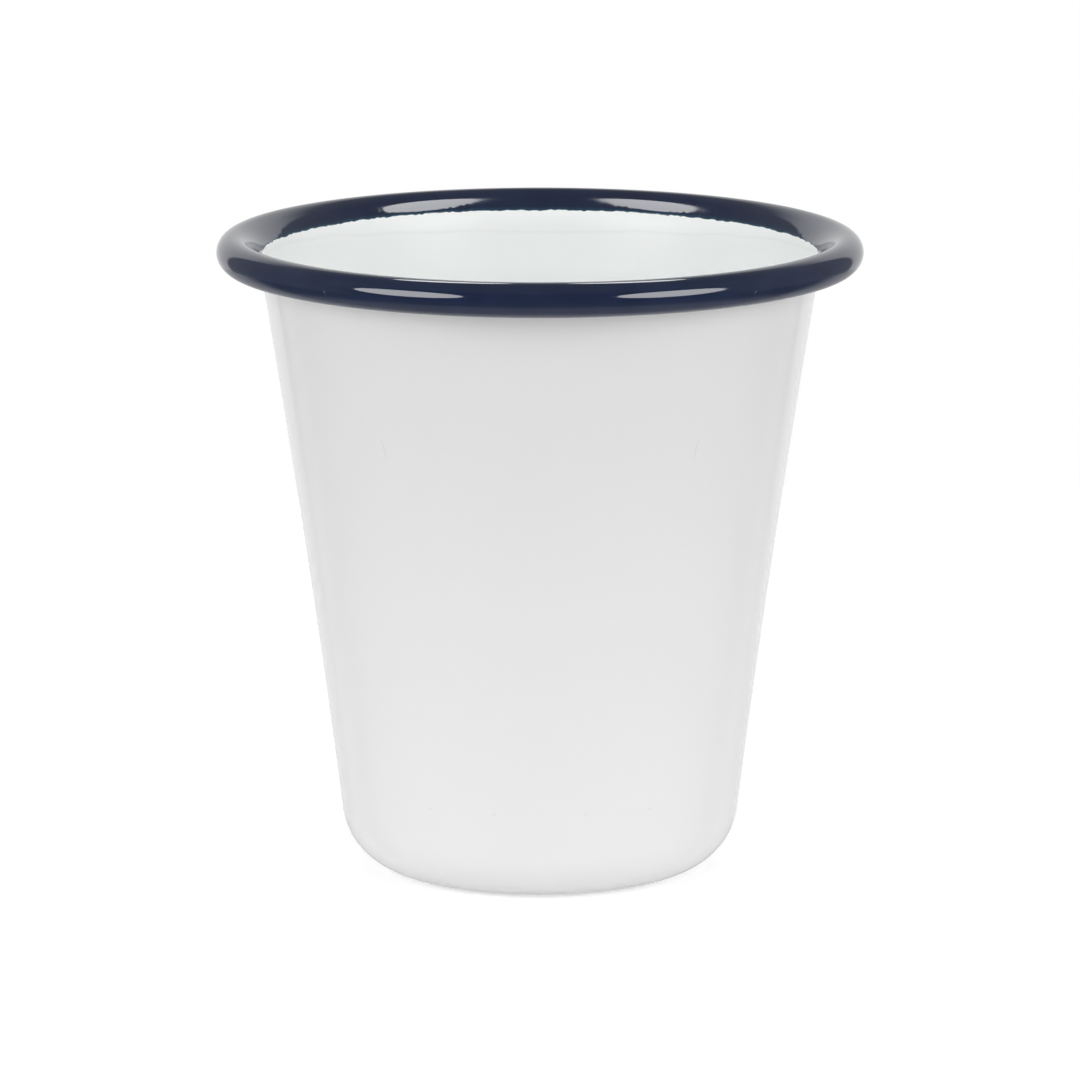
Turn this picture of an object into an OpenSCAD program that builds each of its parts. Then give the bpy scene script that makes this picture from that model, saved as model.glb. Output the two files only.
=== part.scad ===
// Enamelled steel tumbler with a rolled rim.
//
// One pressed steel sheet carries every coat, so the whole section is drawn from one middle line:
// a raised centre, a foot ring, a corner, a slightly hollow wall, a flare and a rolled rim.
// Each coat is a band that lies at a fixed depth on the inside or the outside face of that sheet.

/* [Size] */
// Outer diameter over the rolled rim
rim_d = 93; // [88:0.5:105]
// Overall height, from the table to the top of the rim
height = 92.8; // [80:0.2:110]

/* [Sheet and enamel] */
// Thickness of the steel sheet
sheet_t = 0.5; // [0.4:0.05:0.7]
// Thickness of the dark ground coat on each face
ground_t = 0.1; // [0.06:0.01:0.15]
// Thickness of the white and navy cover coats on each face
cover_t = 0.15; // [0.1:0.01:0.2]

/* [Wall] */
// Lean of the wall from vertical just above the foot, in degrees
lean_foot = 7.1; // [5:0.1:8.5]
// Lean of the wall from vertical just below the rim, in degrees
lean_top = 9.4; // [9:0.1:11]
// Outside radius of the corner between the wall and the base
corner_r = 10; // [6:0.5:12]

/* [Base] */
// Radius where the foot ring ends and the raised centre begins to rise
foot_inner_r = 15.5; // [13:0.5:16.5]
// How far the centre of the base stands above the table
dish_h = 0.8; // [0.4:0.1:1.2]
// Radius of the two bends between the foot ring and the raised centre
dish_bend_r = 6; // [5:0.5:8]

/* [Rim] */
// Diameter of the rolled edge, over its enamel
roll_d = 5; // [4.6:0.1:5.6]
// Radius of the flare that carries the wall into the roll, on its inside face
flare_r = 6.2; // [5.5:0.1:7]
// Angle of the face, up from vertical, where the flare passes into the roll, in degrees
flare_turn = 70; // [62:1:75]
// Angle of the face, up from vertical, where navy enamel meets white, in degrees
colour_turn = 31; // [20:1:45]

/* [Hidden] */

chord_error = 0.003;            // how far a facet of the outline may lie from its true curve
roll_gap = 0.1;                 // left between the end of the roll and the wall's enamel
$fn = 180;

steel_face = sheet_t / 2;       // depths of the faces, measured from the middle of the sheet
ground_face = steel_face + ground_t;
cover_face = ground_face + cover_t;

function normal(a) = [cos(a), sin(a)];
function last(list) = list[len(list) - 1];
function reversed(list) = [for (i = [len(list) - 1 : -1 : 0]) list[i]];

// An arc of the middle line is [centre, radius, first angle, last angle]. Its angles are those of the
// sheet's inward normal, and its radius is negative where the centre lies on the inside of the cup.
function arc_facets(arc) =
    ceil(abs(arc[3] - arc[2]) * PI / 180 * sqrt(abs(arc[1]) / (8 * chord_error)));

// A station is [point, inward normal]. An arc that carries on from another leaves out its first one.
function stations(arc, carries_on = true) =
    let (n = arc_facets(arc))
    [for (i = [carries_on ? 1 : 0 : n])
        let (a = arc[2] + (arc[3] - arc[2]) * i / n)
        [arc[0] + arc[1] * normal(a), normal(a)]];

// Rim: the roll touches the overall height and diameter, and the flare is tangent to it.
roll_r = roll_d / 2;
roll_c = [rim_d / 2 - roll_r, height - roll_r];
flare_end = 180 - flare_turn;
flare_c = roll_c - (flare_r - roll_r) * normal(flare_end);

// The roll closes on the outside of the flare: where the two outer faces cross, seen from the flare's
// centre and then from the roll's own centre. The gap keeps the roll's end just clear.
flare_back_r = flare_r - 2 * cover_face;
centre_gap = flare_r - roll_r;
closing_flare = acos((centre_gap ^ 2 + flare_back_r ^ 2 - roll_r ^ 2) / (2 * centre_gap * flare_back_r));
closing_point = flare_c + flare_back_r * normal(flare_end + closing_flare);
closing_roll = atan2(closing_point.y - roll_c.y, closing_point.x - roll_c.x) - 360 * (closing_point.y > roll_c.y ? 1 : 0);
roll_end = closing_roll + 180 / PI * 2 * roll_gap / roll_r;

// Wall: a shallow arc between the two leans, ending at the height of the corner.
wall_top = flare_c + (flare_r - cover_face) * normal(180 - lean_top);
wall_foot_z = corner_r - (corner_r - cover_face) * sin(lean_foot);
wall_r = (wall_top.y - wall_foot_z) / (sin(lean_top) - sin(lean_foot));
wall_c = wall_top - wall_r * normal(180 - lean_top);
wall_foot = wall_c + wall_r * normal(180 - lean_foot);
corner_c = wall_foot + (corner_r - cover_face) * normal(180 - lean_foot);

// Base: two equal bends lift the centre off the table.
dish_turn = acos(1 - dish_h / (2 * dish_bend_r));
dish_r = foot_inner_r - 2 * dish_bend_r * sin(dish_turn);

below_colour_line = concat(
    [[[0, cover_face + dish_h], normal(90)]],
    stations([[dish_r, cover_face + dish_h - dish_bend_r], dish_bend_r, 90, 90 - dish_turn], false),
    stations([[foot_inner_r, cover_face + dish_bend_r], -dish_bend_r, 90 - dish_turn, 90]),
    stations([corner_c, cover_face - corner_r, 90, 180 - lean_foot], false),
    stations([wall_c, wall_r, 180 - lean_foot, 180 - lean_top]),
    stations([flare_c, flare_r - cover_face, 180 - lean_top, 180 - colour_turn])
);
above_colour_line = concat(
    [last(below_colour_line)],
    stations([flare_c, flare_r - cover_face, 180 - colour_turn, flare_end]),
    stations([roll_c, roll_r - cover_face, flare_end, roll_end])
);
to_closing = concat(
    below_colour_line,
    stations([flare_c, flare_r - cover_face, 180 - colour_turn, flare_end + closing_flare])
);
whole_sheet = concat(below_colour_line, [for (i = [1 : len(above_colour_line) - 1]) above_colour_line[i]]);

// A band of the section between two depths, turned round the axis. Depths are positive towards the inside.
module band(line, near, far) {
    rotate_extrude()
        polygon(concat(
            [for (s = line) s[0] + near * s[1]],
            reversed([for (s = line) s[0] + far * s[1]])
        ));
}

module steel_shell() {
    color("silver")
        band(whole_sheet, -steel_face, steel_face);
}

module ground_coat_inside() {
    color("midnightblue")
        band(whole_sheet, steel_face, ground_face);
}

module ground_coat_outside() {
    color("midnightblue")
        band(to_closing, -ground_face, -steel_face);
}

module white_coat_inside() {
    color("white")
        band(below_colour_line, ground_face, cover_face);
}

module white_coat_outside() {
    color("white")
        band(to_closing, -cover_face, -ground_face);
}

module navy_rim_band() {
    color("#232F4E")
        band(above_colour_line, ground_face, cover_face);
}

steel_shell();
ground_coat_inside();
ground_coat_outside();
white_coat_inside();
white_coat_outside();
navy_rim_band();
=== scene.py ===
import math
import random

import bmesh
import bpy
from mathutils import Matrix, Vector


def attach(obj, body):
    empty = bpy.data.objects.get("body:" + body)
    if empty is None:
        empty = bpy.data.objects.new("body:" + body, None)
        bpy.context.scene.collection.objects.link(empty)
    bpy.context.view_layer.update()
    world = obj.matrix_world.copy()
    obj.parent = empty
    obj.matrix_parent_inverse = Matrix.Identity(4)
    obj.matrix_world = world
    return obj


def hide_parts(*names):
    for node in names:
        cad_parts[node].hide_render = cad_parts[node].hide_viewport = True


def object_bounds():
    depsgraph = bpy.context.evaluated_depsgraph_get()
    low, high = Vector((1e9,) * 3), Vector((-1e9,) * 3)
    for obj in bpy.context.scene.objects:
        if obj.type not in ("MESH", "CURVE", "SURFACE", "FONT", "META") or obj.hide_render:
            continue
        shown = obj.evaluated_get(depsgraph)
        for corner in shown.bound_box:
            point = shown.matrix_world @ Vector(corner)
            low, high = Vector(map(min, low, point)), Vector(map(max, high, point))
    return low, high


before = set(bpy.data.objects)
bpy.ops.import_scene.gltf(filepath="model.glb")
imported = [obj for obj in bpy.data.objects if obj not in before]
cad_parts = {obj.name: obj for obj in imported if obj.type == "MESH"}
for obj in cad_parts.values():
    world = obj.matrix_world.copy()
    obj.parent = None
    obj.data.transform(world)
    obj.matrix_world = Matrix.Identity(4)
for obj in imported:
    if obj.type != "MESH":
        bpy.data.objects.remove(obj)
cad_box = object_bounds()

# Enamelled steel tumbler. Every coat is a band on the faces of one pressed sheet, so each piece below is
# drawn from the same section as in the CAD part, at a finer grain, with the edges and marks of real enamel.

MM = 0.001
BODY = "root"

# ---------------------------------------------------------------------------------------------------------
# Section of the tumbler. Lengths are in metres and angles in degrees.

RIM_R = cad_box[1].x
HEIGHT = cad_box[1].z
SHEET_T = 0.5 * MM
GROUND_T = 0.1 * MM
COVER_T = 0.15 * MM
LEAN_FOOT = 7.1
LEAN_TOP = 9.4
CORNER_R = 10 * MM
FOOT_INNER_R = 15.5 * MM
DISH_H = 0.8 * MM
DISH_BEND_R = 6 * MM
ROLL_R = 2.5 * MM
FLARE_R = 6.2 * MM
FLARE_TURN = 70
COLOUR_TURN = 31

GROUND_FACE = SHEET_T / 2 + GROUND_T    # depths of the faces from the middle of the sheet
COVER_FACE = GROUND_FACE + COVER_T
FLARE_BACK_R = FLARE_R - 2 * COVER_FACE
FLARE_END = 180 - FLARE_TURN


def sine(angle):
    return math.sin(math.radians(angle))


def normal(angle):
    """Unit vector at an angle. At an angle of the section it is the sheet's inward normal."""
    return Vector((math.cos(math.radians(angle)), math.sin(math.radians(angle))))


def angle_of(vector):
    return math.degrees(math.atan2(vector.y, vector.x))


def meeting_angle(side, reach_a, reach_b):
    """Angle at one end of a side between it and the first reach, where the two reaches meet."""
    return math.degrees(math.acos((side**2 + reach_a**2 - reach_b**2) / (2 * side * reach_a)))


def spaced(first, last, steps):
    return [first + (last - first) * i / steps for i in range(steps + 1)]


def arc(centre, radius, first, last, steps):
    """Stations (point, inward normal) along an arc of the sheet's middle line."""
    return [(centre + radius * normal(a), normal(a)) for a in spaced(first, last, steps)]


def at_depth(stations, depth):
    """The outline that lies at a depth from the middle line, positive towards the inside."""
    return [point + depth * inward for point, inward in stations]


# Rim: the roll touches the overall height and radius, and the flare is tangent to it.
roll_c = Vector((RIM_R - ROLL_R, HEIGHT - ROLL_R))
flare_c = roll_c - (FLARE_R - ROLL_R) * normal(FLARE_END)
closing_turn = meeting_angle(FLARE_R - ROLL_R, FLARE_BACK_R, ROLL_R)
closing_point = flare_c + FLARE_BACK_R * normal(FLARE_END + closing_turn)
closing_roll = angle_of(closing_point - roll_c) % 360 - 360

# Wall: a shallow arc between two leans. Corner and base follow it down to the foot ring.
wall_top = flare_c + (FLARE_R - COVER_FACE) * normal(180 - LEAN_TOP)
wall_foot_z = CORNER_R - (CORNER_R - COVER_FACE) * sine(LEAN_FOOT)
wall_r = (wall_top.y - wall_foot_z) / (sine(LEAN_TOP) - sine(LEAN_FOOT))
wall_c = wall_top - wall_r * normal(180 - LEAN_TOP)
corner_c = wall_c + (wall_r + CORNER_R - COVER_FACE) * normal(180 - LEAN_FOOT)
dish_turn = math.degrees(math.acos(1 - DISH_H / (2 * DISH_BEND_R)))
dish_r = FOOT_INNER_R - 2 * DISH_BEND_R * sine(dish_turn)


def flat(first_r, last_r, z, steps):
    """Level stations from one radius to another."""
    return [(Vector((first_r + (last_r - first_r) * i / steps, z)), normal(90)) for i in range(steps + 1)]


def base_to_wall():
    """Stations from the axis to the top of the wall."""
    dish_z = COVER_FACE + DISH_H
    rise = arc(Vector((dish_r, dish_z - DISH_BEND_R)), DISH_BEND_R, 90, 90 - dish_turn, 8)
    fall = arc(Vector((FOOT_INNER_R, COVER_FACE + DISH_BEND_R)), -DISH_BEND_R, 90 - dish_turn, 90, 8)
    foot = flat(FOOT_INNER_R, corner_c.x, COVER_FACE, 14)
    corner = arc(corner_c, COVER_FACE - CORNER_R, 90, 180 - LEAN_FOOT, 28)
    wall = arc(wall_c, wall_r, 180 - LEAN_FOOT, 180 - LEAN_TOP, 20)
    centre = flat(0, dish_r, dish_z, 6)
    return centre[:-1] + rise[:-1] + fall[:-1] + foot[:-1] + corner[:-1] + wall


def flare(last, steps):
    """Stations of the flare, from the top of the wall to an angle."""
    return arc(flare_c, FLARE_R - COVER_FACE, 180 - LEAN_TOP, last, steps)


# ---------------------------------------------------------------------------------------------------------
# Meshes


SHARP_ANGLE = 50        # edges that turn by more than this are shaded as sharp


def add_object(name, data):
    obj = bpy.data.objects.new(name, data)
    bpy.context.scene.collection.objects.link(obj)
    return obj


def ring_noise(seed, bumps):
    """A smooth random function of the angle round the axis, from -1 to 1, with a number of bumps a turn."""
    draw = random.Random(seed)
    values = [draw.uniform(-1, 1) for _ in range(bumps)]

    def value(turn):
        place = turn % 1 * bumps
        low = int(place) % bumps
        blend = place - int(place)
        blend = blend * blend * (3 - 2 * blend)
        return values[low] * (1 - blend) + values[(low + 1) % bumps] * blend

    return value


def revolve(name, outline, segments, shift=None):
    """A mesh object from an outline of (radius, height) turned round the axis. An outline that starts and
    ends on the axis closes there, and any other one is a closed loop. shift gives the change of an
    outline's point at a turn from 0 to 1."""
    mesh = bmesh.new()
    to_axis = outline[0].x < 1e-9
    rings = []
    for index, point in enumerate(outline):
        if point.x < 1e-9:
            rings.append([mesh.verts.new((0, 0, point.y))] * segments)
            continue
        ring = []
        for step in range(segments):
            turn = step / segments
            place = point + shift(index, turn) if shift else point
            angle = 2 * math.pi * turn
            ring.append(mesh.verts.new((place.x * math.cos(angle), place.x * math.sin(angle), place.y)))
        rings.append(ring)
    pairs = list(zip(rings, rings[1:])) + ([] if to_axis else [(rings[-1], rings[0])])
    for low, high in pairs:
        for step in range(segments):
            after = (step + 1) % segments
            corners = [low[step], low[after], high[after], high[step]]
            mesh.faces.new([v for i, v in enumerate(corners) if v not in corners[:i]])
    bmesh.ops.recalc_face_normals(mesh, faces=mesh.faces)
    data = bpy.data.meshes.new(name)
    mesh.to_mesh(data)
    mesh.free()
    data.polygons.foreach_set("use_smooth", [True] * len(data.polygons))
    data.set_sharp_from_angle(angle=math.radians(SHARP_ANGLE))
    return add_object(name, data)


# Three pins hold the tumbler in the furnace, and each leaves a small pit in the foot ring.
PIN_MARK_R = 0.55 * MM
PIN_MARK_DEPTH = 0.1 * MM
PIN_CIRCLE_R = (FOOT_INNER_R + corner_c.x) / 2
PIN_TURNS = (0.06, 0.06 + 1 / 3, 0.06 + 2 / 3)


def pin_pit(radius, turn):
    """Depth of the foot's face at a place, which is more than 0 only in the smooth pit at each pin mark."""
    depth = 0
    for pin in PIN_TURNS:
        apart = 2 * math.pi * (turn - pin)
        distance = math.hypot(radius * math.cos(apart) - PIN_CIRCLE_R, radius * math.sin(apart))
        depth += PIN_MARK_DEPTH * math.exp(-((distance / PIN_MARK_R) ** 2))
    return depth


WHITE_SEGMENTS = 448    # faces round the axis


def white_outside():
    """White coat from the centre of the base up to where the roll closes on the wall."""
    stations = base_to_wall()[:-1] + flare(FLARE_END + closing_turn, 12)
    face = at_depth(stations, -COVER_FACE)
    back = at_depth(stations[::-1], -GROUND_FACE)

    def shift(index, turn):
        on_foot = index < len(face) and face[index].y < 1e-6
        return Vector((0, pin_pit(face[index].x, turn))) if on_foot else Vector((0, 0))

    return revolve("white_outside", face + back, WHITE_SEGMENTS, shift)


UNDERLAP = 0.7 * MM     # how far the white coat runs on under the navy one


def white_inside():
    """White coat from the centre of the floor up to just under the navy band."""
    last = 180 - COLOUR_TURN - math.degrees(UNDERLAP / FLARE_R)
    stations = base_to_wall()[:-1] + flare(last, 24)
    outline = at_depth(stations, COVER_FACE) + at_depth(stations[::-1], GROUND_FACE)
    return revolve("white_inside", outline, WHITE_SEGMENTS)


# The navy coat's edge inside: distance from the edge along the face, and height over the white coat.
NAVY_LIP = [
    (0.00, -0.030), (0.02, 0.004), (0.05, 0.022), (0.09, 0.034), (0.15, 0.040), (0.25, 0.042),
    (0.45, 0.038), (0.75, 0.028), (1.10, 0.014), (1.50, 0.004), (1.90, 0.000),
]
THIN = "thin"           # name of the attribute that says how thin the navy coat is
THIN_REACH = 0.2        # distance from the edge at which it is a third of the way back to full colour
NAVY_SEGMENTS = 1080
FILLET_R = 0.35 * MM
TOOTH = 0.15 * MM       # reach of the ragged colour line to either side of its mean


def navy_band():
    """Navy coat from the ragged colour line over the crest and round the roll into the seam below it."""
    lip_length = NAVY_LIP[-1][0] * MM
    lip = []
    for along, over in NAVY_LIP:
        inward = normal(180 - COLOUR_TURN - math.degrees(along * MM / FLARE_R))
        lip.append(flare_c + (FLARE_R + over * MM) * inward)
    lip_end = 180 - COLOUR_TURN - math.degrees(lip_length / FLARE_R)
    face = at_depth(arc(flare_c, FLARE_R - COVER_FACE, lip_end, FLARE_END, 10)[1:-1], COVER_FACE)

    # The seam under the roll is filled by a fillet that touches the roll and the wall.
    from_flare = FLARE_BACK_R - FILLET_R
    fillet_turn = meeting_angle(FLARE_R - ROLL_R, from_flare, ROLL_R + FILLET_R)
    fillet_c = flare_c + from_flare * normal(FLARE_END + fillet_turn)
    roll_touch = angle_of(fillet_c - roll_c) % 360 - 360
    wall_touch = angle_of(fillet_c - flare_c)
    roll = [roll_c + ROLL_R * normal(a) for a in spaced(FLARE_END, roll_touch, 46)]
    fillet = [fillet_c + FILLET_R * normal(a) for a in spaced(roll_touch + 180, wall_touch, 6)[1:]]
    hidden_r = ROLL_R - COVER_T
    hidden_roll = [roll_c + hidden_r * normal(a) for a in spaced(closing_roll, FLARE_END, 10)]
    hidden_flare = [flare_c + (FLARE_R - COVER_T) * normal(a)
                    for a in spaced(FLARE_END, 180 - COLOUR_TURN, 5)[1:]]
    outline = lip + face + roll + fillet + [closing_point] + hidden_roll + hidden_flare
    seam_start = len(lip + face + roll)
    seam_end = seam_start + len(fillet)

    teeth = [(ring_noise(11, 210), 0.35), (ring_noise(12, 67), 0.25), (ring_noise(13, 460), 0.65)]
    seam_wave = ring_noise(14, 40)
    along_flare = Vector((sine(COLOUR_TURN), math.cos(math.radians(COLOUR_TURN))))

    def shift(index, turn):
        if index < len(lip):
            fade = 1 - NAVY_LIP[index][0] / NAVY_LIP[-1][0]
            reach = sum(noise(turn) * share for noise, share in teeth)
            return -along_flare * reach * TOOTH * fade * fade
        if seam_start < index < seam_end:
            return Vector((0, -0.2 * FILLET_R * (1 + seam_wave(turn)) * (index - seam_start) / len(fillet)))
        return Vector((0, 0))

    band = revolve("navy_band", outline, NAVY_SEGMENTS, shift)
    thin = band.data.attributes.new(THIN, "FLOAT", "POINT")
    for index, (along, _) in enumerate(NAVY_LIP):
        for step in range(NAVY_SEGMENTS):
            thin.data[index * NAVY_SEGMENTS + step].value = math.exp(-along / THIN_REACH)
    return band


# ---------------------------------------------------------------------------------------------------------
# Materials


class Nodes:
    """Short names for adding and joining the nodes of a tree."""

    def __init__(self, tree):
        self.tree = tree

    def add(self, kind, inputs=None, **settings):
        node = self.tree.nodes.new(kind)
        for key, value in settings.items():
            setattr(node, key, value)
        for key, value in (inputs or {}).items():
            self.put(node.inputs[key], value)
        return node

    def put(self, socket, value):
        if isinstance(value, bpy.types.NodeSocket):
            self.tree.links.new(value, socket)
        else:
            socket.default_value = value

    def math(self, operation, a, b=0.0):
        return self.add("ShaderNodeMath", {0: a, 1: b}, operation=operation).outputs[0]

    def range(self, value, low, high, to_low=0.0, to_high=1.0):
        """A smooth step from one value to another while the input goes from low to high."""
        inputs = {"Value": value, "From Min": low, "From Max": high, "To Min": to_low, "To Max": to_high}
        return self.add("ShaderNodeMapRange", inputs, interpolation_type="SMOOTHSTEP").outputs[0]

    def blend(self, share, a, b):
        """A number between two others."""
        return self.add("ShaderNodeMix", {0: share, 2: a, 3: b}).outputs[0]

    def mix(self, share, a, b):
        """A colour between two others."""
        node = self.add("ShaderNodeMix", data_type="RGBA")
        self.put(node.inputs[0], share)
        self.put(node.inputs[6], a)
        self.put(node.inputs[7], b)
        return node.outputs[2]


class Shader(Nodes):
    """A material with one Principled shader."""

    def __init__(self, name):
        self.material = bpy.data.materials.new(name)
        self.material.use_nodes = True
        super().__init__(self.material.node_tree)
        self.surface = next(n for n in self.tree.nodes if n.type == "BSDF_PRINCIPLED")
        self.place = self.add("ShaderNodeTexCoord").outputs["Object"]

    def set(self, **inputs):
        for key, value in inputs.items():
            self.put(self.surface.inputs[key.replace("_", " ")], value)

    def vector(self, operation, a, b, output=0):
        return self.add("ShaderNodeVectorMath", {0: a, 1: b}, operation=operation).outputs[output]

    def distance(self, a, b):
        return self.vector("DISTANCE", a, b, "Value")

    def folded_place(self):
        """The position with its X folded onto the positive side, so that each mark is on the left too."""
        parts = self.add("ShaderNodeSeparateXYZ", {0: self.place}).outputs
        aside = self.math("ABSOLUTE", parts["X"])
        return self.add("ShaderNodeCombineXYZ", {0: aside, 1: parts["Y"], 2: parts["Z"]}).outputs[0]

    def distance_to_line(self, place, start, end):
        run = end - start
        from_start = self.vector("SUBTRACT", place, start)
        along = self.vector("DOT_PRODUCT", from_start, run / run.length_squared, "Value")
        along = self.math("MINIMUM", self.math("MAXIMUM", along, 0.0), 1.0)
        nearest = self.add("ShaderNodeVectorMath", {0: run, "Scale": along}, operation="SCALE").outputs[0]
        return self.distance(from_start, nearest)

    def noise(self, period, detail=2.0, roughness=0.5):
        """Noise from 0 to 1 whose features are about a period across, in metres."""
        inputs = {"Vector": self.place, "Scale": 1 / period, "Detail": detail, "Roughness": roughness}
        return self.add("ShaderNodeTexNoise", inputs).outputs[0]

    def bump(self, height, depth, under=None):
        """A bump from a height of 0 to 1 that stands for a depth in metres."""
        inputs = {"Height": height, "Distance": depth, "Strength": 1.0}
        if under is not None:
            inputs["Normal"] = under
        return self.add("ShaderNodeBump", inputs).outputs[0]


def specks(shader, cell, size, share):
    """Mask of sparse round specks: one in a share of the cells, up to a size across."""
    voronoi = shader.add("ShaderNodeTexVoronoi", {"Vector": shader.place, "Scale": 1 / cell})
    drawn = shader.add("ShaderNodeSeparateColor", {"Color": voronoi.outputs["Color"]})
    radius = shader.math("MULTIPLY", drawn.outputs[1], size / cell / 2)
    dot = shader.math("LESS_THAN", voronoi.outputs["Distance"], radius)
    chosen = shader.math("LESS_THAN", drawn.outputs[0], share)
    return shader.math("MULTIPLY", dot, chosen)


def enamel_skin(shader):
    """The fired surface that all the coats share: long ripples and a fine orange peel."""
    ripple = shader.bump(shader.noise(14 * MM, 1.0), 0.007 * MM)
    return shader.bump(shader.noise(1.6 * MM, 2.0), 0.0006 * MM, ripple)


# The tints are fitted to this studio's lamps, so they don't measure the enamel's own white. The outside is
# set darker than real white enamel, as painted shade, and the inside lighter, as painted light.
OUTSIDE_TINT = (0.574, 0.574, 0.577)
OUTSIDE_SHADE = (0.570, 0.570, 0.572)
INSIDE_TINT = (0.935, 0.957, 0.950)
INSIDE_SHADE = (0.931, 0.953, 0.946)


# Painted shade: the inside is darkened towards the rim, where the lamps light it most.
PAINTED_SHADE_HEIGHTS = (81 * MM, 90 * MM)     # heights between which the inside is toned down
PAINTED_SHADE_SHARE = 0.26


def white_enamel(name, tint, shade, smooth, dull, shine):
    shader = Shader(name)
    cloud = shader.noise(22 * MM, 1.0)
    base = shader.mix(cloud, (*shade, 1), (*tint, 1))
    dots = specks(shader, 9 * MM, 0.3 * MM, 0.3)
    pits = specks(shader, 3.7 * MM, 0.16 * MM, 0.25)
    base = shader.mix(shader.math("MULTIPLY", pits, 0.12), base, (0.30, 0.31, 0.33, 1))
    base = shader.mix(shader.math("MULTIPLY", dots, 0.22), base, (0.10, 0.11, 0.13, 1))
    skin = shader.bump(shader.math("ADD", dots, pits), -0.006 * MM, enamel_skin(shader))
    gloss = shader.range(shader.noise(6 * MM, 4.0), 0.3, 0.7, smooth, dull)
    shader.set(Base_Color=base, Roughness=gloss, IOR=1.52, Specular_IOR_Level=shine, Normal=skin)
    return shader


def tone(shader, share, colour):
    """Lay a colour over a share of the base colour."""
    socket = shader.surface.inputs["Base Color"]
    shader.put(socket, shader.mix(share, socket.links[0].from_socket, (*colour, 1)))


def pin_marks(shader):
    """Where the pins stood, the white coat is burnt through to the dark ground coat."""
    nearest = None
    for turn in PIN_TURNS:
        angle = 2 * math.pi * turn
        centre = (PIN_CIRCLE_R * math.cos(angle), PIN_CIRCLE_R * math.sin(angle), 0)
        distance = shader.distance(shader.place, centre)
        nearest = distance if nearest is None else shader.math("MINIMUM", nearest, distance)
    frayed = shader.math("MULTIPLY", shader.noise(0.5 * MM), 0.5 * MM)
    return shader.range(shader.math("ADD", nearest, frayed), 0.75 * MM, 0.55 * MM)


# Places of the marks, in millimetres: specks and a scratch of use on the outside, and on the rim a painted
# reflection, a light-blue streak. Each is there on the left as well.
OUTSIDE_SPECKS = [(25.8, -16.0, 21.6), (15.7, -24.8, 13.7), (6.5, -28.6, 13.7)]
OUTSIDE_SCRATCH = [(22.3, -29.4, 67.8), (21.7, -29.5, 65.5)]
RIM_PAINTED_REFLECTION = [(30.2, -35.3, 90.1), (28.0, -35.7, 88.2)]


def white_outside_enamel():
    shader = white_enamel("white_enamel_outside", OUTSIDE_TINT, OUTSIDE_SHADE, 0.07, 0.12, 0.5)
    place = shader.folded_place()
    for spot in OUTSIDE_SPECKS:
        mark = shader.range(shader.distance(place, Vector(spot) * MM), 0.24 * MM, 0.08 * MM)
        tone(shader, shader.math("MULTIPLY", mark, 0.18), (0.15, 0.15, 0.16))
    start, end = (Vector(spot) * MM for spot in OUTSIDE_SCRATCH)
    mark = shader.range(shader.distance_to_line(place, start, end), 0.16 * MM, 0.04 * MM)
    tone(shader, shader.math("MULTIPLY", mark, 0.13), (0.15, 0.15, 0.16))
    tone(shader, pin_marks(shader), (0.02, 0.025, 0.035))
    return shader.material


def white_inside_enamel():
    """The inside has a painted reflection: a faint grey waving line some way below the rim. The coat is
    toned down towards the rim with painted shade, where this studio's lamps reach in most, so that the
    inside looks even."""
    shader = white_enamel("white_enamel_inside", INSIDE_TINT, INSIDE_SHADE, 0.30, 0.33, 0.25)
    parts = shader.add("ShaderNodeSeparateXYZ", {0: shader.place}).outputs
    # Painted reflection: a faint grey waving line below the rim, standing in for the studio's reflection
    # there.
    rise = shader.math("MULTIPLY", shader.math("MULTIPLY", parts["X"], parts["X"]), 1.5)
    wave = shader.math("MULTIPLY", shader.noise(9 * MM, 1.0), 0.9 * MM)
    line = shader.math("ADD", shader.math("ADD", rise, wave), 86.6 * MM)
    # Painted shade: darker towards the rim, where the lamps light the inside most.
    painted_shade = shader.range(parts["Z"], *PAINTED_SHADE_HEIGHTS, 0.0, PAINTED_SHADE_SHARE)
    tone(shader, painted_shade, (0.30, 0.31, 0.31))
    above = shader.math("SUBTRACT", parts["Z"], line)
    mark = shader.range(shader.math("ABSOLUTE", above), 0.35 * MM, 0.05 * MM)
    tone(shader, shader.math("MULTIPLY", mark, 0.05), (0.2, 0.21, 0.21))
    return shader.material


def navy_enamel():
    """Cobalt enamel. Near the colour line it thins out over the white, so it turns teal there."""
    shader = Shader("navy_enamel")
    cloud = shader.range(shader.noise(5 * MM, 3.0), 0.3, 0.7)
    base = shader.mix(cloud, (0.0070, 0.0130, 0.036, 1), (0.0095, 0.0165, 0.044, 1))
    thin = shader.add("ShaderNodeAttribute", attribute_name=THIN).outputs["Fac"]
    base = shader.mix(thin, base, (0.03, 0.085, 0.12, 1))
    pits = specks(shader, 4 * MM, 0.2 * MM, 0.25)
    skin = shader.bump(pits, -0.01 * MM, enamel_skin(shader))
    gloss = shader.range(shader.noise(6 * MM, 4.0), 0.3, 0.7, 0.05, 0.09)
    shader.set(Base_Color=base, Roughness=gloss, IOR=1.70, Normal=skin)
    # Painted reflection: a faint light-blue streak on the lower front of the roll, where light from below
    # is reflected.
    start, end = (Vector(spot) * MM for spot in RIM_PAINTED_REFLECTION)
    mark = shader.range(shader.distance_to_line(shader.folded_place(), start, end), 0.22 * MM, 0.05 * MM)
    tone(shader, shader.math("MULTIPLY", mark, 0.35), (0.10, 0.16, 0.22))
    return shader.material


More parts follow.
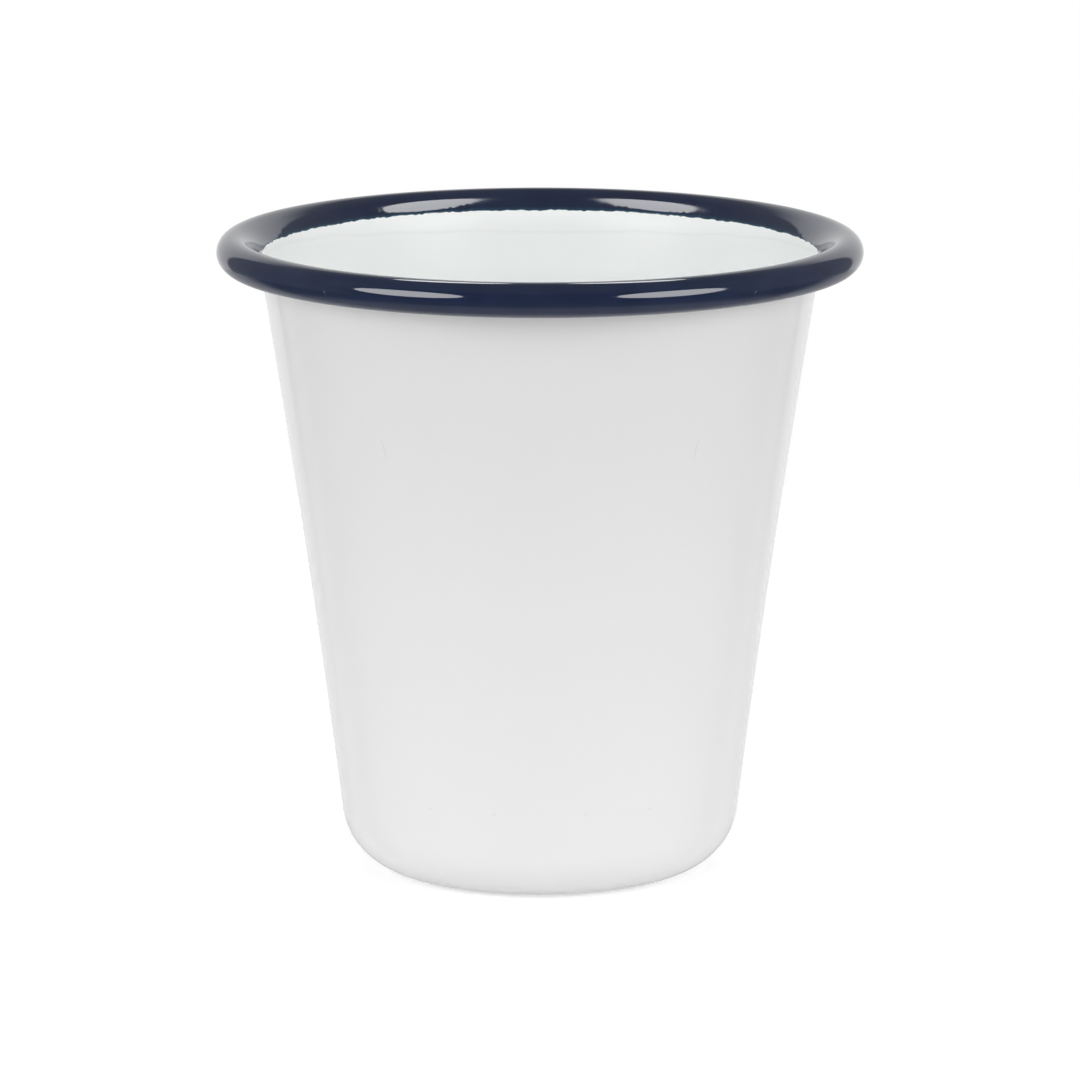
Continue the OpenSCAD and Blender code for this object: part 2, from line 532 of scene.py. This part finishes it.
def ground_enamel():
    """Dark first coat, which the cover coats hide: blue-black glass with fine bubbles."""
    shader = Shader("ground_enamel")
    cloud = shader.range(shader.noise(4 * MM, 4.0), 0.3, 0.7)
    base = shader.mix(cloud, (0.012, 0.016, 0.028, 1), (0.022, 0.028, 0.045, 1))
    bubbles = specks(shader, 0.8 * MM, 0.2 * MM, 0.6)
    skin = shader.bump(bubbles, -0.01 * MM, enamel_skin(shader))
    shader.set(Base_Color=base, Roughness=0.3, IOR=1.5, Normal=skin)
    return shader.material


def pickled_steel():
    """Pressed and pickled sheet, which the enamel hides: grey, with draw lines up the wall."""
    shader = Shader("pickled_steel")
    stretched = shader.add("ShaderNodeMapping", {"Vector": shader.place, "Scale": (1, 1, 0.05)})
    lines = shader.add("ShaderNodeTexNoise", {"Vector": stretched.outputs[0], "Scale": 1 / (0.6 * MM)})
    base = shader.mix(lines.outputs[0], (0.34, 0.34, 0.35, 1), (0.52, 0.52, 0.53, 1))
    rough = shader.range(lines.outputs[0], 0.3, 0.7, 0.38, 0.55)
    skin = shader.bump(lines.outputs[0], 0.004 * MM)
    shader.set(Base_Color=base, Metallic=1.0, Roughness=rough, Normal=skin)
    return shader.material


# ---------------------------------------------------------------------------------------------------------
# Studio


FLOOR_FRONT = 0.26      # how far the sheet of paper on the floor reaches in front of the tumbler
FLOOR_LENGTH = 0.56
FLOOR_SPREAD = 0.22     # how fast the sheet widens with depth, and how blunt its front end is
FLOOR_NOSE = 0.104
FLOOR_Z = -0.02 * MM    # a hair below the foot, so that the two faces don't coincide
FLOOR_GLOW = 0.34       # radiance that the light table under the paper adds


def pale_floor():
    """A sheet of white paper on a light table, narrow in front of the tumbler and wide behind it."""
    shader = Shader("pale_floor")
    paper = shader.range(shader.noise(90 * MM, 2.0), 0.3, 0.7, 0.0, 1.0)
    base = shader.mix(paper, (0.88, 0.88, 0.88, 1), (0.89, 0.89, 0.89, 1))
    shader.set(Base_Color=base, Roughness=0.9, Specular_IOR_Level=0.1)
    shader.set(Emission_Color=(1, 1, 1, 1), Emission_Strength=FLOOR_GLOW)
    mesh = bmesh.new()
    edge = []
    for share in spaced(0, 1, 40):
        depth = FLOOR_LENGTH * share**2
        edge.append((math.sqrt(FLOOR_SPREAD * depth * depth + FLOOR_NOSE * depth), depth - FLOOR_FRONT))
    right = [mesh.verts.new((x, y, FLOOR_Z)) for x, y in edge]
    left = [mesh.verts.new((-x, y, FLOOR_Z)) for x, y in edge[:0:-1]]
    mesh.faces.new(right + left)
    data = bpy.data.meshes.new("floor")
    mesh.to_mesh(data)
    mesh.free()
    data.materials.append(shader.material)
    obj = add_object("floor", data)
    obj.visible_glossy = False
    return obj


FRONT_RADIANCE = 4.8    # the large panels on the camera's side, which light the wall and the front rim
FRONT_BEARING = 131.3   # angle from straight behind the tumbler, to either side
FRONT_RISE = 19.5
FRONT_DISTANCE = 1.6
FRONT_SIZE = (1.16, 0.94)
SMALL_RADIANCE = 5.3    # the small panels above the rim, which only make its highlights at the back
SMALL_SPOT = Vector((23.7 * MM, 39.8 * MM, HEIGHT + 80 * MM))
SMALL_SIZE = (46 * MM, 26 * MM)
SMALL_TURN = 56
SIDE_FILL = 6.5         # the lamps that only fill in
LOW_FILL = 7.0
TOP_FILL = 1.9


def softbox(name, spot, target, size, radiance, seen=True):
    """A soft elliptical panel of an even radiance. One that isn't seen only fills in, with no highlight."""
    light = bpy.data.lights.new(name, "AREA")
    light.shape = "ELLIPSE"
    light.size, light.size_y = size
    light.energy = radiance * math.pi * (math.pi / 4 * size[0] * size[1])
    obj = add_object(name, light)
    obj.location = spot
    obj.rotation_euler = (target - spot).to_track_quat("-Z", "Y").to_euler()
    obj.visible_camera = False
    obj.visible_glossy = seen
    return obj


BACKDROP = 0.90         # radiance of the white backdrop and of the room round it
ROOM_SIDE = 0.24
ROOM_FRONT = 0.08
ROOM_TOP = 0.16
PAPER_BACK = 0.60       # radiance of the paper on the table: behind, beside and under the rim
PAPER_SIDE = 0.13
PAPER_UNDER = 0.42


def room():
    """What the enamel reflects: a white backdrop behind the tumbler, in a room that is dark on the
    camera's side."""
    world = bpy.data.worlds.new("room")
    bpy.context.scene.world = world
    world.use_nodes = True
    nodes = Nodes(world.node_tree)
    background = next(n for n in nodes.tree.nodes if n.type == "BACKGROUND")
    direction = nodes.add("ShaderNodeTexCoord").outputs["Generated"]
    parts = nodes.add("ShaderNodeSeparateXYZ", {0: direction})
    aside = nodes.math("ABSOLUTE", parts.outputs["X"])
    bearing = nodes.math("ARCTAN2", aside, parts.outputs["Y"])
    height = parts.outputs["Z"]
    walls = nodes.range(bearing, math.radians(92), math.radians(128), ROOM_SIDE, ROOM_FRONT)
    above = nodes.range(height, 0.62, 0.85)
    walls = nodes.math("MULTIPLY", walls, nodes.math("SUBTRACT", 1.0, above))
    walls = nodes.math("ADD", walls, nodes.math("MULTIPLY", above, ROOM_TOP))
    beside = nodes.range(bearing, math.radians(36), math.radians(32.5))
    below = nodes.range(height, 0.72, 0.42)
    sheet = nodes.math("MULTIPLY", nodes.math("MULTIPLY", beside, below), BACKDROP)
    upper = nodes.math("MAXIMUM", walls, sheet)
    paper = nodes.range(bearing, math.radians(64), math.radians(40), PAPER_SIDE, PAPER_BACK)
    paper = nodes.math("MAXIMUM", paper, nodes.range(height, -0.45, -0.80, 0.0, PAPER_UNDER))
    fall = nodes.range(height, -0.22, -0.30)
    lit = nodes.blend(fall, upper, paper)
    path = nodes.add("ShaderNodeLightPath")
    strength = nodes.blend(path.outputs["Is Camera Ray"], lit, 1.0)
    nodes.put(background.inputs["Strength"], strength)
    nodes.put(background.inputs["Color"], (1, 1, 1, 1))


CAMERA_SPOT = (0, -1278.1 * MM, 292.7 * MM)
CAMERA_TILT = 10.84     # how far the camera looks down


def camera():
    """A long lens in front of the tumbler that looks down on it a little."""
    data = bpy.data.cameras.new("camera")
    data.sensor_width = 36
    data.lens = 300
    data.clip_end = 50
    obj = add_object("camera", data)
    obj.location = CAMERA_SPOT
    obj.rotation_euler = (math.radians(90 - CAMERA_TILT), 0, 0)
    bpy.context.scene.camera = obj


def studio():
    pale_floor()
    room()
    rim = Vector((0, 0, HEIGHT * 0.9))
    for side, name in ((-1, "left"), (1, "right")):
        across, up = math.radians(side * FRONT_BEARING), math.radians(FRONT_RISE)
        bearing = Vector((math.sin(across) * math.cos(up), math.cos(across) * math.cos(up), math.sin(up)))
        softbox(f"front_{name}", rim + FRONT_DISTANCE * bearing, rim, FRONT_SIZE, FRONT_RADIANCE)
        above = Vector((side * SMALL_SPOT.x, SMALL_SPOT.y, SMALL_SPOT.z))
        small = softbox(f"small_{name}", above, above - Vector((0, 0, 1)), SMALL_SIZE, SMALL_RADIANCE)
        small.rotation_euler = (0, 0, math.radians(side * -SMALL_TURN))
        small.visible_diffuse = False
        beside = Vector((side * 1.2, 0.1, 0.2))
        softbox(f"side_fill_{name}", beside, rim, (0.8, 0.4), SIDE_FILL, seen=False)
    softbox("low_fill", Vector((0, -1.1, 0.12)), Vector((0, 0, 0.05)), (1.2, 0.2), LOW_FILL, seen=False)
    softbox("top_fill", Vector((0, 0.3, 2.2)), Vector((0, 0.3, 0)), (2.0, 2.0), TOP_FILL, seen=False)
    camera()
    view = bpy.context.scene.view_settings
    view.view_transform = "Standard"
    view.look = "None"


# ---------------------------------------------------------------------------------------------------------
# Assembly


def stand_in(piece, material, node):
    """A finished piece takes the place of a CAD node."""
    piece.data.materials.append(material)
    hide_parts(node)
    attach(piece, BODY)


def paint(node, material):
    """A CAD node that stays gets a procedural material."""
    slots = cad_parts[node].material_slots
    if not slots:
        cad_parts[node].data.materials.append(material)
    for slot in slots:
        slot.material = material


stand_in(white_outside(), white_outside_enamel(), "white_coat_outside")
stand_in(white_inside(), white_inside_enamel(), "white_coat_inside")
stand_in(navy_band(), navy_enamel(), "navy_rim_band")
ground = ground_enamel()
paint("ground_coat_inside", ground)
paint("ground_coat_outside", ground)
paint("steel_shell", pickled_steel())
studio()

bpy.context.view_layer.update()
